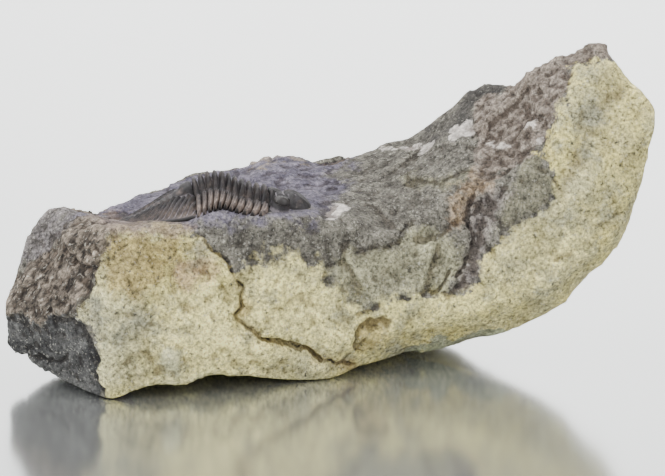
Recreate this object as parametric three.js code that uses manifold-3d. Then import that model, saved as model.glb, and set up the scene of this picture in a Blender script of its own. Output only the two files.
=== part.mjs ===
// A dalmanitid trilobite lying across the stone it was freed from. Millimetres, +Z up, +X along the stone
// towards its upturned end, -Y towards its weathered front. The origin is under the middle, on the table.
// The animal's shell is thirteen plates: a head shield, eleven thorax rings and a tail shield. Each one is
// a closed solid that stops a hair above the stone, because the rock still fills the shell from below.
import * as THREE from "three";
import Module from "manifold-3d";
import { mergeVertices } from "three/addons/utils/BufferGeometryUtils.js";

const wasm = await Module();
wasm.setup();

// ---- Sizes ----
const STONE_STATIONS = 54; // slices along the stone
const PLATE_GAP = 0.4; // between two neighbouring plates
const STONE_GAP = 0.35; // between a plate and the stone below it
const PLATE_FLOOR = 33; // every plate starts from this height, inside the stone, and the stone is cut away
const PLATE_TAPER = 0.8; // how much narrower a plate is down there
const RING_COUNT = 11;
const TAIL_LENGTH = 17.2; // along the crest, from the tail tip
const RING_PITCH = 1.7;
const HEAD_START = TAIL_LENGTH + RING_COUNT * RING_PITCH;
const CREST_LENGTH = 48;
const HALF_WIDTH = 10.6; // of the shell, at the thorax
const AXIS_HALF = 3.6; // half-width of the raised middle lobe
const AXIS_DROP = 2.8; // from the crest to the furrow beside the lobe
const TIP_DROP_TAIL = 5.2; // from the crest to the tips of the ribs, next to the tail
const TIP_DROP_HEAD = 3.9; // and next to the head
const RIB_THICKNESS = 1.2; // the shell and its filling at the rib tips, above the stone
const SWEEP = 1.2; // how far the rib tips trail behind their ring

// ---- The stone's long edges ----
// Each edge runs from the blunt left end to the upturned right end, as [x, y, z] with x rising. Going round
// a slice they follow one another in this order, and the number is how many strips lie before the next.
const EDGES = [
  {
    name: "toe",
    strips: 3,
    points: [
      [-73.2, -12.5, 8], [-69, -15, 4.5], [-62, -20.5, 2.2], [-55, -25.5, 0.8], [-48.4, -30, 0], [-40, -28, 3.2],
      [-31, -26, 2.8], [-28.6, -25, 4.6], [-18, -21, 2.7], [-9.5, -17.5, 0.6], [-0.6, -15, 0], [7.4, -10, 2],
      [15.5, -4, 3], [27, -2, 5], [38, -2, 7], [47.5, -1, 10.6], [54.3, -1, 15.5], [58.7, -1, 20.5],
      [63.2, -0.5, 24.2], [67.1, 0, 32.8], [71.2, 0, 46.5], [72.6, 0, 56],
    ],
  },
  {
    name: "skirt",
    strips: 3,
    points: [
      [-73.2, -13, 11], [-69, -17, 10], [-62, -23, 11], [-55, -28.5, 12], [-48.4, -31.5, 12], [-28.6, -27, 13],
      [-18, -23.5, 12], [-0.6, -17.5, 9], [10, -14, 10], [20, -10, 11], [40, -8, 16], [50, -8, 21],
      [63, -5, 31], [71.5, -1, 49], [72.6, 0, 57],
    ],
  },
  {
    name: "belly",
    strips: 3,
    points: [
      [-73.2, -12.5, 16.5], [-70, -15.5, 20], [-62, -22, 22], [-48.4, -30.5, 25], [-28.6, -26, 26],
      [-9.5, -20, 25], [-0.6, -17, 21], [3.9, -14.5, 18.6], [21.9, -11, 18.6], [32.1, -9.5, 21.1],
      [42, -9, 30], [56, -7.5, 42], [68, -2.5, 53], [72.6, 0, 58.2],
    ],
  },
  {
    name: "brow",
    strips: 2,
    points: [
      [-73.2, -11.5, 18], [-68, -11, 30], [-64.8, -10, 34], [-60, -17, 34.5], [-50.8, -23.5, 37.2],
      [-45.2, -24.5, 38.2], [-34.5, -23, 36.6], [-29.1, -22, 36.6], [-23.7, -21, 38.1], [-12.7, -18, 37.7],
      [-0.6, -15, 37.2], [5, -12, 35.5], [12.4, -10.5, 32.5], [18.5, -8, 35.1], [26.4, -4.5, 38], [33.3, -2, 40.7],
      [38, -4, 41], [42, -7, 38], [48.6, -6.5, 43.5], [51, -1, 58], [54, 1, 62], [61.3, 6, 69], [64.9, 5, 66.5],
      [70.3, 1.5, 61.3], [72.6, 0, 58.9],
    ],
  },
  {
    name: "apron",
    strips: 4,
    points: [
      [-73.2, -11, 18.5], [-68, -9.5, 32.5], [-64.8, -8.5, 36.6], [-61.6, -9, 38.1], [-50.8, -18, 37.6],
      [-40, -18, 36.4], [-29, -17, 36.8], [-18, -14, 38], [-7, -11, 37.3], [0, -8, 37.1], [12, -1, 37.2],
      [20, 3, 41], [33, 6, 47.5], [38, 5, 50.5], [44, 3, 53.5], [50, 5, 63], [58, 7.5, 69.6], [61.3, 9, 72],
      [64.9, 6.5, 67.1], [70.3, 2.2, 61.9], [72.6, 0.3, 59.3],
    ],
  },
  {
    name: "deck",
    strips: 5,
    points: [
      [-73.2, -10, 18], [-68, -7.5, 32.5], [-64.8, -6.5, 36.5], [-61.6, -6, 37.4], [-50.8, -8, 35.6],
      [-40, -4, 36.4], [-29, 4, 37.6], [-7, 7, 37.8], [8, 14, 39.6], [20, 17, 44.5], [33, 16, 53.5],
      [42, 14, 61.2], [48, 12.5, 66.8], [58, 11.5, 71.8], [61.3, 10.5, 72.6], [64.9, 8, 66.8],
      [70.3, 3, 61.4], [72.6, 0.6, 59],
    ],
  },
  {
    name: "rim",
    strips: 3,
    points: [
      [-73.2, -9.5, 16], [-68, -5.5, 30], [-61.6, -3, 35.8], [-52.4, -3, 35.8], [-46.2, 4, 36.4],
      [-36.8, 20, 37.9], [-32.4, 26, 38.6], [-19.8, 29, 38.6], [-17.2, 30.5, 41.3], [-11.2, 30.5, 42],
      [-3, 30, 41], [10.1, 30, 43.2], [18.8, 30, 46.4], [27.6, 28, 54.8], [35.6, 25, 59.9], [38.1, 22, 60.7],
      [42, 19, 60.2], [54, 17, 67], [61.3, 14, 69.5], [64.9, 11, 64.5], [70.3, 5, 59.5], [72.6, 1, 58.3],
    ],
  },
  {
    name: "back",
    strips: 4,
    points: [
      [-73.2, -9, 13], [-68, -2.5, 18], [-61.6, 2, 20], [-52.4, 5, 20], [-40, 20, 22], [-34, 29, 23],
      [-10, 34, 24], [16, 34.5, 26], [27.6, 34, 31], [38, 31, 37], [48, 27, 43], [64.9, 15, 50],
      [70.3, 7, 53], [72.6, 1.5, 57],
    ],
  },
  {
    name: "heel",
    strips: 5,
    points: [
      [-73.2, -10.5, 9], [-66, -4, 4], [-61.6, -1.5, 2], [-52.4, 2, 0.5], [-46, 8, 0], [-34, 20, 0], [-25, 24, 0],
      [5, 26, 0], [16, 26, 1], [27.6, 24, 4], [38, 20, 9.5], [48, 16, 17], [58, 12, 27], [70.3, 4, 47],
      [72.6, 1.2, 55.5],
    ],
  },
  {
    name: "keel",
    strips: 4,
    points: [
      [-73.2, -11.5, 7], [-66, -11, 2.5], [-61.6, -11, 0.8], [-55, -12, 0], [-30, -5, 0], [5, 4, 0],
      [16, 6, 0], [24, 5, 1.5], [38.4, 3, 5.4], [47.5, 3, 9.8], [54.3, 3, 14.6], [58.7, 3, 19.6],
      [63.2, 3, 23.2], [67.1, 2.5, 32], [71.2, 1.5, 46], [72.6, 0.8, 55.5],
    ],
  },
];
const STONE_LEFT = EDGES[0].points[0][0];
const STONE_RIGHT = EDGES[0].points.at(-1)[0];

// ---- The crest of the shell, from the tail tip to the front of the head: distance along it, x and z ----
const CREST = [
  [0, -47.8, 36.2], [4, -42.9, 38.4], [9.2, -38.4, 40.9], [13.5, -34.6, 42.9], [17.2, -31.6, 44.9],
  [19.4, -29.7, 46.1], [21.3, -27.9, 46.7], [23.5, -25.7, 46.9], [25.3, -23.9, 46.6], [27.7, -22, 45.5],
  [30.9, -19.1, 44.2], [34.3, -15.7, 43.5], [36.4, -13.7, 42.9], [41.9, -8.6, 41.4], [44.7, -6.2, 39.8],
  [48, -4.2, 37.4],
];
const TAIL_Y = -11.1; // the crest line's y at the tail tip and at the front of the head
const HEAD_Y = -6;

const clamp01 = (v) => Math.min(1, Math.max(0, v));
const smooth = (from, to, v) => {
  const k = clamp01((v - from) / (to - from));
  return k * k * (3 - 2 * k);
};

// Straight-line interpolation of every column after the first, in a table sorted by its first column.
function along(table, key) {
  let i = 1;
  while (i < table.length - 1 && table[i][0] < key) i++;
  const [a, b] = [table[i - 1], table[i]];
  const k = clamp01((key - a[0]) / (b[0] - a[0]));
  return a.slice(1).map((v, n) => v + (b[n + 1] - v) * k);
}

// Lumps of broken rock: smooth value noise, about -1 to 1, the same each time.
function lumps(x, y, z) {
  const corner = (i, j, k) => {
    const s = Math.sin(i * 127.1 + j * 311.7 + k * 74.7) * 43758.5453;
    return 2 * (s - Math.floor(s)) - 1;
  };
  const [i, j, k] = [Math.floor(x), Math.floor(y), Math.floor(z)];
  const [u, v, w] = [smooth(0, 1, x - i), smooth(0, 1, y - j), smooth(0, 1, z - k)];
  const mix = (a, b, t) => a + (b - a) * t;
  const row = (dj, dk) => mix(corner(i, j + dj, k + dk), corner(i + 1, j + dj, k + dk), u);
  return mix(mix(row(0, 0), row(1, 0), v), mix(row(0, 1), row(1, 1), v), w);
}

// ---- The stone ----
// The rock left standing under the thorax: a low plinth whose top stays just below the tips of the ribs.
const CREST_BY_X = CREST.map(([s, x, z]) => [x, s, z]);
const middleY = (x) => TAIL_Y + ((x + 46.2) * (HEAD_Y - TAIL_Y)) / 42;
const tipDrop = (s) =>
  TIP_DROP_TAIL + (TIP_DROP_HEAD - TIP_DROP_TAIL) * smooth(TAIL_LENGTH, HEAD_START, s);
function plinthTop(x, y) {
  const [s, z] = along(CREST_BY_X, x);
  const beyond = Math.max(0, Math.abs(y - middleY(x)) - HALF_WIDTH + 1);
  const underThorax = smooth(-35, -31, x) * (1 - smooth(-12, -7, x));
  return z - tipDrop(s) - RIB_THICKNESS - 1.3 * beyond - 6 * (1 - underThorax);
}

function stoneGeometry() {
  const around = EDGES.reduce((sum, edge) => sum + edge.strips, 0);
  const tube = new THREE.CylinderGeometry(1, 1, 1, around, STONE_STATIONS, false);
  tube.deleteAttribute("normal");
  tube.deleteAttribute("uv");
  const geometry = mergeVertices(tube, 1e-4);
  const place = geometry.getAttribute("position");
  const starts = EDGES.map((_, n) => EDGES.slice(0, n).reduce((sum, edge) => sum + edge.strips, 0));
  for (let i = 0; i < place.count; i++) {
    const [px, py, pz] = [place.getX(i), place.getY(i), place.getZ(i)];
    const x = STONE_LEFT + (STONE_RIGHT - STONE_LEFT) * (py + 0.5);
    const corners = EDGES.map((edge) => along(edge.points, x));
    if (Math.hypot(px, pz) < 0.5) {
      // the middle of an end face
      const mean = [0, 1].map((n) => corners.reduce((sum, c) => sum + c[n], 0) / corners.length);
      place.setXYZ(i, x, mean[0], mean[1]);
      continue;
    }
    const turn = ((Math.atan2(-px, pz) / (2 * Math.PI) + 1) % 1) * around;
    const step = Math.round(turn) % around;
    const n = starts.findLastIndex((start) => start <= step);
    const k = (step - starts[n]) / EDGES[n].strips;
    const [from, to] = [corners[n], corners[(n + 1) % corners.length]];
    const y = from[0] + (to[0] - from[0]) * k;
    const z = from[1] + (to[1] - from[1]) * k;
    place.setXYZ(i, x, y, z);
  }
  roughen(geometry);
  return geometry;
}

// Pushes the skin in and out along its own direction. The flat underside and the plinth stay as they are.
function roughen(geometry) {
  geometry.computeVertexNormals();
  const place = geometry.getAttribute("position");
  const facing = geometry.getAttribute("normal");
  for (let i = 0; i < place.count; i++) {
    const [x, y, z] = [place.getX(i), place.getY(i), place.getZ(i)];
    const bare = 1 - smooth(20, 34, z) * (1 - smooth(2, 12, x)) * (1 - smooth(6, 16, y));
    const ends = smooth(STONE_LEFT, STONE_LEFT + 5, x) * (1 - smooth(STONE_RIGHT - 5, STONE_RIGHT, x));
    const amount = smooth(0.5, 8, z) * bare * ends;
    const push = amount * (0.7 * lumps(x / 13, y / 13, z / 13) + 0.45 * lumps(x / 6, y / 6 + 9, z / 6));
    const floor = z > 30 ? plinthTop(x, y) : 0;
    const pushed = new THREE.Vector3(x, y, z).addScaledVector(new THREE.Vector3().fromBufferAttribute(facing, i), push);
    place.setXYZ(i, pushed.x, pushed.y, Math.max(floor, pushed.z));
  }
  geometry.deleteAttribute("normal");
}

// ---- The shell ----
// A point of the shell: s along the crest, t to the side (+ is the far side), drop below the crest.
// The shell hangs half-way between straight down and square to the crest, and its edges trail backwards.
function shellPoint(s, t, drop) {
  const outward = clamp01((Math.abs(t) - AXIS_HALF) / (HALF_WIDTH - AXIS_HALF));
  const at = s - SWEEP * outward ** 2;
  const [x, z] = along(CREST, at);
  const [x0, z0] = along(CREST, Math.max(0, at - 4));
  const [x1, z1] = along(CREST, Math.min(CREST_LENGTH, at + 4));
  const heading = new THREE.Vector3(x1 - x0, ((x1 - x0) * (HEAD_Y - TAIL_Y)) / 42, z1 - z0).normalize();
  const side = new THREE.Vector3(-heading.y, heading.x, 0).normalize();
  const up = new THREE.Vector3().crossVectors(heading, side).add(new THREE.Vector3(0, 0, 1)).normalize();
  return new THREE.Vector3(x, middleY(x), z).addScaledVector(side, t).addScaledVector(up, -drop);
}

// How far the thorax lies below its crest: a round middle lobe, then ribs that bend down at their tips.
function thoraxDrop(s, t) {
  const out = Math.abs(t);
  const k = clamp01((out - AXIS_HALF) / (HALF_WIDTH - AXIS_HALF));
  const lobe = AXIS_DROP * (1 - Math.sqrt(Math.max(0, 1 - (out / AXIS_HALF) ** 2)));
  return out < AXIS_HALF ? lobe : AXIS_DROP + (tipDrop(s) - AXIS_DROP) * k * k;
}

// A plate: columns across and rows along, its top on top(s, t) and its underside far down in the stone.
function plateGeometry(from, to, rows, columns, halfWidth, drop) {
  const box = new THREE.BoxGeometry(1, 1, 1, columns, 1, rows);
  box.deleteAttribute("normal");
  box.deleteAttribute("uv");
  const geometry = mergeVertices(box, 1e-4);
  const place = geometry.getAttribute("position");
  for (let i = 0; i < place.count; i++) {
    const s = from + (to - from) * (0.5 - place.getZ(i));
    const t = -2 * place.getX(i) * halfWidth(s);
    const low = place.getY(i) < 0;
    const point = low ? shellPoint(s, t * PLATE_TAPER, 0) : shellPoint(s, t, drop(s, t));
    place.setXYZ(i, point.x, point.y, low ? PLATE_FLOOR : point.z);
  }
  return geometry;
}

// Head shield: a half-oval with a broad swollen lobe in the middle and an eye on a turret at each side.
function headHalfWidth(s) {
  const k = clamp01((s - HEAD_START) / (CREST_LENGTH - HEAD_START));
  return 1.2 + (HALF_WIDTH - 0.4) * Math.sqrt(Math.max(0, 1 - k ** 2.4));
}
function headDrop(s, t) {
  const k = clamp01((s - HEAD_START) / (CREST_LENGTH - HEAD_START));
  const out = Math.abs(t);
  const lobe = 3.4 + 2.2 * k;
  const crown = 2.3 * smooth(0.35 * lobe, 1.1 * lobe, out);
  const cheek = 2.3 + 1.8 * smooth(lobe, headHalfWidth(s), out);
  const eye = 1.9 * Math.exp(-(((s - 38.6) / 2.1) ** 2) - ((out - 6.1) / 1.3) ** 2);
  return Math.max(crown, out > lobe ? cheek : 0) - eye;
}

// Tail shield: a long triangle, its middle lobe tapering to the tip.
function tailHalfWidth(s) {
  const k = clamp01(s / TAIL_LENGTH);
  return 0.7 + (HALF_WIDTH - 0.9) * k ** 0.72;
}
function tailDrop(s, t) {
  const k = clamp01(s / TAIL_LENGTH);
  const out = Math.abs(t) / tailHalfWidth(s);
  const high = 0.5 + (AXIS_DROP - 0.7) * k * k;
  const edge = 1 + (TIP_DROP_TAIL - 1) * k;
  const w = clamp01((out - 0.34) / 0.66);
  return out < 0.34 ? high * (1 - Math.sqrt(1 - (out / 0.34) ** 2)) : high + (edge - high) * w * w;
}

// ---- Solids and the scene ----
function solidOf(geometry) {
  return new wasm.Manifold(
    new wasm.Mesh({
      numProp: 3,
      vertProperties: new Float32Array(geometry.getAttribute("position").array),
      triVerts: new Uint32Array(geometry.index.array),
    }),
  );
}

function geometryOf(solid) {
  const mesh = solid.getMesh();
  return new THREE.BufferGeometry()
    .setAttribute("position", new THREE.BufferAttribute(new Float32Array(mesh.vertProperties), 3))
    .setIndex(new THREE.BufferAttribute(new Uint32Array(mesh.triVerts), 1));
}

const stoneMaterial = new THREE.MeshStandardMaterial({ color: 0xb5ab86, roughness: 0.95, metalness: 0 });
const shellMaterial = new THREE.MeshStandardMaterial({ color: 0x4d4742, roughness: 0.6, metalness: 0 });

const stone = stoneGeometry();
const cutter = solidOf(stone).translate([0, 0, STONE_GAP]);
const fossil = new THREE.Group();

function addPlate(name, geometry) {
  const cut = solidOf(geometry).subtract(cutter);
  const parts = cut.decompose().sort((a, b) => b.volume() - a.volume());
  const mesh = new THREE.Mesh(geometryOf(parts[0]), shellMaterial);
  mesh.name = name;
  fossil.add(mesh);
}

const stoneMesh = new THREE.Mesh(stone, stoneMaterial);
stoneMesh.name = "matrix_stone";
fossil.add(stoneMesh);

addPlate(
  "pygidium",
  plateGeometry(0.4, TAIL_LENGTH - PLATE_GAP, 10, 14, tailHalfWidth, tailDrop),
);
for (let ring = 1; ring <= RING_COUNT; ring++) {
  const back = TAIL_LENGTH + (RING_COUNT - ring) * RING_PITCH;
  addPlate(
    `thorax_segment_${String(ring).padStart(2, "0")}`,
    plateGeometry(back, back + RING_PITCH - PLATE_GAP, 1, 16, () => HALF_WIDTH, thoraxDrop),
  );
}
addPlate("cephalon", plateGeometry(HEAD_START, CREST_LENGTH, 12, 22, headHalfWidth, headDrop));

// The origin goes under the middle of the stone's box, on the table.
stone.computeBoundingBox();
const middle = stone.boundingBox.getCenter(new THREE.Vector3());
fossil.position.set(-middle.x, -middle.y, 0);

export default fossil;
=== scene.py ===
import math

import bpy
import numpy as np
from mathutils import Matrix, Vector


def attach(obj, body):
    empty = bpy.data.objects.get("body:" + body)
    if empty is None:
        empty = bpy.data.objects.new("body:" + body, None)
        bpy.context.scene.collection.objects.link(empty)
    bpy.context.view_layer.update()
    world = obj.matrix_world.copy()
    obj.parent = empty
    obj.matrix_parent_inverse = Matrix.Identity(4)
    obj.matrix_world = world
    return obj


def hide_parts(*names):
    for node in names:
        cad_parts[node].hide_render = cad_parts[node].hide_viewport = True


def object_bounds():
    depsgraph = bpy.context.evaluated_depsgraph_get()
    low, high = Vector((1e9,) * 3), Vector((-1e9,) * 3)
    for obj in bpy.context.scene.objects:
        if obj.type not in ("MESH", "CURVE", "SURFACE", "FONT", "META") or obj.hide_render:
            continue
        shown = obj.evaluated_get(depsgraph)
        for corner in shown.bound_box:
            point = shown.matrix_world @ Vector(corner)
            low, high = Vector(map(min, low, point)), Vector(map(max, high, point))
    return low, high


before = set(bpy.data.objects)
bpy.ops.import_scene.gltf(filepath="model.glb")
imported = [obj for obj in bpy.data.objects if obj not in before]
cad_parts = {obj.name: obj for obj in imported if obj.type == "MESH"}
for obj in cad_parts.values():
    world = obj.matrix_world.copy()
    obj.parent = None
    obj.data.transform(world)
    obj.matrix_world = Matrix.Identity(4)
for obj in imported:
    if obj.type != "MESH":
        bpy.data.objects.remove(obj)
cad_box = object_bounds()
bpy.ops.object.select_all(action="DESELECT")


# ---- The stone: its body ---------------------------------------------------------------------------------
# One block of fine muddy limestone, split from its bed. The blunt end is freshly broken, the front and the
# upturned end carry a weathered rind, and the bedding plane that the animal lies on is smooth. Frost and
# hammer shaped its skin, so points 0.4 mm apart are pushed in and out by rules for each kind of surface.
def select_only(piece):
    bpy.ops.object.select_all(action="DESELECT")
    piece.select_set(True)
    bpy.context.view_layer.objects.active = piece


def copy_of_node(node, name):
    select_only(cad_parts[node])
    bpy.ops.object.duplicate()
    piece = bpy.context.view_layer.objects.active
    piece.name = piece.data.name = name
    piece.parent = None
    for key in list(piece.keys()):
        del piece[key]
    bpy.ops.object.mode_set(mode="EDIT")
    bpy.ops.mesh.select_all(action="SELECT")
    bpy.ops.mesh.remove_doubles(threshold=1e-6)
    bpy.ops.object.mode_set(mode="OBJECT")
    return piece


def finish_modifier(piece, kind, **settings):
    select_only(piece)
    bpy.ops.object.modifier_add(type=kind)
    added = piece.modifiers[-1]
    for key, value in settings.items():
        setattr(added, key, value)
    bpy.ops.object.modifier_apply(modifier=added.name)


def places(piece):
    """The piece's points, in millimetres."""
    flat = np.empty(len(piece.data.vertices) * 3)
    piece.data.vertices.foreach_get("co", flat)
    return flat.reshape(-1, 3) * 1000


def put(piece, points):
    piece.data.vertices.foreach_set("co", (points / 1000).ravel())
    piece.data.update()


def directions(piece):
    flat = np.empty(len(piece.data.vertices) * 3)
    piece.data.vertex_normals.foreach_get("vector", flat)
    return flat.reshape(-1, 3)


def neighbours(piece):
    pairs = np.empty(len(piece.data.edges) * 2, dtype=np.int64)
    piece.data.edges.foreach_get("vertices", pairs)
    return pairs.reshape(-1, 2)


def evened(values, pairs, rounds):
    """Every value becomes the mean of its neighbours', a few times over."""
    many = len(values)
    values = values.reshape(many, -1)
    share = np.bincount(pairs.ravel(), minlength=many)
    for _ in range(rounds):
        columns = [
            np.bincount(pairs[:, 0], values[pairs[:, 1], c], many)
            + np.bincount(pairs[:, 1], values[pairs[:, 0], c], many)
            for c in range(values.shape[1])
        ]
        values = np.stack(columns, axis=1) / share[:, None]
    return values


def ramp(low, high, value):
    k = np.clip((value - low) / (high - low), 0, 1)
    return k * k * (3 - 2 * k)


def dice(cell, seed):
    """A value from 0 to 1 for each whole-numbered place, the same every time."""
    mixed = cell[..., 0] * 73856093 ^ cell[..., 1] * 19349663 ^ cell[..., 2] * 83492791 ^ seed * 2654435761
    mixed = ((mixed ^ (mixed >> 13)) * 1274126177) & 0x7FFFFFFF
    return ((mixed ^ (mixed >> 16)) & 0xFFFFFF) / 0xFFFFFF


def swell(points, size, seed):
    """Smooth lumps of about that size in millimetres, from -1 to 1."""
    scaled = points / size
    cell = np.floor(scaled).astype(np.int64)
    part = scaled - cell
    part = part * part * (3 - 2 * part)
    total = 0
    for corner in range(8):
        step = np.array([corner & 1, corner >> 1 & 1, corner >> 2 & 1])
        total = total + np.prod(np.where(step, part, 1 - part), axis=1) * dice(cell + step, seed)
    return 2 * total - 1


def chips(points, size, seed, softness=0.15):
    """Broken faces: every cell of a random honeycomb is a flat face with a tilt of its own."""
    scaled = points / size
    cell = np.floor(scaled).astype(np.int64)
    nearest = np.full(len(points), 9.0)
    second = nearest.copy()
    height = np.zeros(len(points))
    other = height.copy()
    for n in range(27):
        here = cell + np.array([n % 3 - 1, n // 3 % 3 - 1, n // 9 - 1])
        centre = here + np.stack([dice(here, seed + k) for k in (1, 2, 3)], axis=1)
        tilt = np.stack([dice(here, seed + k) for k in (4, 5, 6)], axis=1) - 0.5
        away = scaled - centre
        gap = np.einsum("ij,ij->i", away, away)
        face = 2 * np.einsum("ij,ij->i", away, tilt) + 0.5 * (dice(here, seed + 7) - 0.5)
        closer = gap < nearest
        runner_up = ~closer & (gap < second)
        other = np.where(closer, height, np.where(runner_up, face, other))
        second = np.where(closer, nearest, np.where(runner_up, gap, second))
        height = np.where(closer, face, height)
        nearest = np.where(closer, gap, nearest)
    blend = 0.5 + 0.5 * ramp(0, softness, np.sqrt(second) - np.sqrt(nearest))
    return height * blend + other * (1 - blend)


def stairs(height, rise, edge=0.12):
    """A slope cut into level treads with steep steps between them."""
    step = np.floor(height / rise)
    return (step + ramp(0.5 - edge, 0.5 + edge, height / rise - step)) * rise


SKIN_STEP = 0.00042
stone = copy_of_node("matrix_stone", "stone")
finish_modifier(stone, "REMESH", mode="VOXEL", voxel_size=SKIN_STEP)

# The front of the stone, as someone standing before it sees it from a little above, has its places measured
# in millimetres across and up from the middle of the block. The outlines below use those two measures.
FRONT_TILT = math.radians(15)
FRONT_DISTANCE = 620
MIDDLE = np.array([0.3, -1.76, 29.2])
TOWARDS_FRONT = np.array([0, -math.cos(FRONT_TILT), math.sin(FRONT_TILT)])
UPWARDS = np.array([0, math.sin(FRONT_TILT), math.cos(FRONT_TILT)])


def seen_from_front(points):
    away = points - MIDDLE - FRONT_DISTANCE * TOWARDS_FRONT
    scale = FRONT_DISTANCE / -(away @ TOWARDS_FRONT)
    return away[:, 0] * scale, (away @ UPWARDS) * scale


def within(outline, across, up):
    """Distance in millimetres to the edge of an outlined patch, positive inside it."""
    nearest = np.full(len(across), 1e9)
    odd = np.zeros(len(across), dtype=bool)
    for (x0, y0), (x1, y1) in zip(outline, outline[1:] + outline[:1]):
        dx, dy = x1 - x0, y1 - y0
        k = np.clip(((across - x0) * dx + (up - y0) * dy) / (dx * dx + dy * dy), 0, 1)
        nearest = np.minimum(nearest, np.hypot(across - x0 - k * dx, up - y0 - k * dy))
        if dy:
            odd ^= ((y0 > up) != (y1 > up)) & (across < x0 + (up - y0) * dx / dy)
    return np.where(odd, nearest, -nearest)


def beside(line, across, up):
    """Distance in millimetres to a line drawn on the front."""
    nearest = np.full(len(across), 1e9)
    for (x0, y0), (x1, y1) in zip(line, line[1:]):
        dx, dy = x1 - x0, y1 - y0
        k = np.clip(((across - x0) * dx + (up - y0) * dy) / (dx * dx + dy * dy), 0, 1)
        nearest = np.minimum(nearest, np.hypot(across - x0 - k * dx, up - y0 - k * dy))
    return nearest


# Patches of the front: what the surface is made of there.
RIND = [
    (-49.5, 1.5), (-52.5, -4), (-54.5, -9.5), (-56, -13), (-57.5, -16.5), (-56, -20), (-54.5, -24.5),
    (-53.5, -28), (-54, -31), (-52.5, -34), (-51, -37), (-50, -44), (79, -44), (79, 38), (65, 41), (61, 40.5),
    (57.5, 40), (53.5, 38.5), (54.5, 35.5), (54, 32), (51.5, 30), (51, 27), (49, 22.5), (46, 19.5),
    (48.5, 18), (50, 15.5), (50.5, 12), (50, 8.5), (47, 6), (42.5, 3.5), (39, 0.5), (36, -2.5),
    (33.5, -5.5), (33, -9.5), (31, -12), (29, -13.5), (21, -14), (15.5, -13.5), (11, -16), (7.5, -17),
    (4.5, -18), (1.5, -14), (-1.5, -10.5), (-4, -6), (-7.5, -4.5), (-9.5, -5.5), (-13, -7.5), (-16, -5.5),
    (-19, -5.5), (-21, -7), (-24.5, -4.5), (-29.5, -1.5), (-32.5, 1.5), (-41.5, 2.5),
]
CHARCOAL = [
    (-80, -17.5), (-69.5, -17.5), (-65.5, -20.5), (-63.5, -17.5), (-58.5, -17.5), (-56, -21), (-55, -24.5),
    (-53.5, -28), (-54, -31), (-52.5, -34), (-51, -37), (-50.5, -44), (-80, -44),
]
UMBER = [
    (-80, -7), (-71.5, -6.5), (-69, -5.5), (-66.5, -4.5), (-64, -1), (-62.5, 2.5), (-58.5, 4.5), (-54, 3.5),
    (-49.5, 1.5), (-52.5, -4), (-54.5, -9.5), (-56, -13), (-57.5, -16.5), (-58.5, -17.5), (-63.5, -17.5),
    (-65.5, -20.5), (-69.5, -17.5), (-80, -17.5),
]
FACET = [
    (-78, -5.5), (-72.5, -7), (-69.5, -5.5), (-67.5, -4.5), (-65.5, -2.5), (-63.5, 0), (-62.5, 2.5),
    (-58.5, 5), (-57.5, 8.5), (-64, 11), (-75.5, 10),
]
BEDDING = [
    (-60.5, 3), (-53, 3), (-41.5, 2), (-33, 1), (-31, 1.8), (-26.5, 2.8), (-19, 3.6), (-13, 3.2), (-5, 3.8),
    (-1, 5), (1, 8.5), (2, 12), (4, 15), (6, 17.5), (4, 23.5), (-30, 23.5), (-62, 11),
]
RIDGE = [
    (33, 27.5), (36, 31.5), (41.5, 36.5), (51.5, 47.5), (67.5, 48.5), (64, 41), (61, 40.5), (57.5, 40),
    (53.5, 38.5), (54.5, 35.5), (54, 32), (51.5, 30), (51, 27), (49, 22.5), (46.5, 19.5), (44, 18.5),
    (40, 16.5), (37.5, 13.5), (35, 11), (31, 7.5), (29.5, 4), (27, 1), (26, 3.5), (26, 7.5), (28, 10.5),
    (31, 13.5), (33, 16.5), (33.5, 22.5),
]
FAR_LEDGE = [(-21, 15.5), (-17, 21), (-9, 22), (2, 21), (5, 17.8), (-6, 17.5), (-13, 17.2), (-17, 15.8)]
RUST = [(28, 10.5), (31, 13), (36, 14.5), (35.5, 12), (31, 8.5), (29.5, 5), (28, 1), (26, 2.5), (26.5, 7.5)]
CLEFT = [
    (31, 9), (33.5, 10.5), (37, 10.5), (41, 12.5), (39, 8), (36.5, 3.5), (36, -0.5), (34, -5.5), (33, -9.5),
    (30, -12), (27, -12.5), (28.5, -8.5), (30.5, -4), (31, 0.5), (30.5, 4.5),
]
MOSS = [(16, 12.5), (20, 14), (25.5, 14.5), (29, 15.5), (33, 15), (32, 12.5), (28, 11.5), (20, 11)]
SLAB = [
    (41, 15.5), (46, 18.5), (49, 17), (50.5, 12.5), (49.5, 8.5), (45.5, 6), (41.5, 3.5), (38.5, 2.5),
    (37.5, 6), (40, 10.5),
]
OLIVE = [
    (3, -2.5), (12.5, -2.5), (18, 2.5), (24.5, 1.5), (28, -1.5), (30.5, -5.5), (26.5, -12.5), (21, -13.5),
    (15.5, -13.5), (7.5, -16.5), (4, -17.5), (1, -14), (-2.5, -8.5), (-0.5, -4.5),
]
SLOPE = [
    (15, 20.5), (19, 25.5), (26.5, 32.5), (34.5, 37), (39, 35), (36, 31.5), (33, 27.5), (32.5, 25),
    (29, 22.5), (24.5, 24), (20, 22),
]
PALE = [
    [(22, 24.5), (26, 25), (31, 27), (33.5, 27.5), (33, 24.5), (29.5, 22.5), (26.5, 23)],
    [(15, 20), (16.5, 21.5), (19.5, 21.5), (19, 20), (16, 20)],
    [(34, 23), (37.5, 23), (38.5, 21.5), (35.5, 21)],
    [(-1.5, 5.5), (0, 7.5), (2.5, 8), (3, 6.5), (1, 5), (-1, 3.5)],
    [(44, 25.5), (46, 27.5), (46.5, 26.5), (45, 25)],
    [(45.5, 20.5), (47.5, 23), (48.5, 22), (46.5, 20.5)],
]
BOSS = [
    (-39, -26), (-37.5, -24.5), (-35.5, -25), (-34, -27), (-34, -29.5), (-35, -31), (-37.5, -30), (-39, -28),
]
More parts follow.
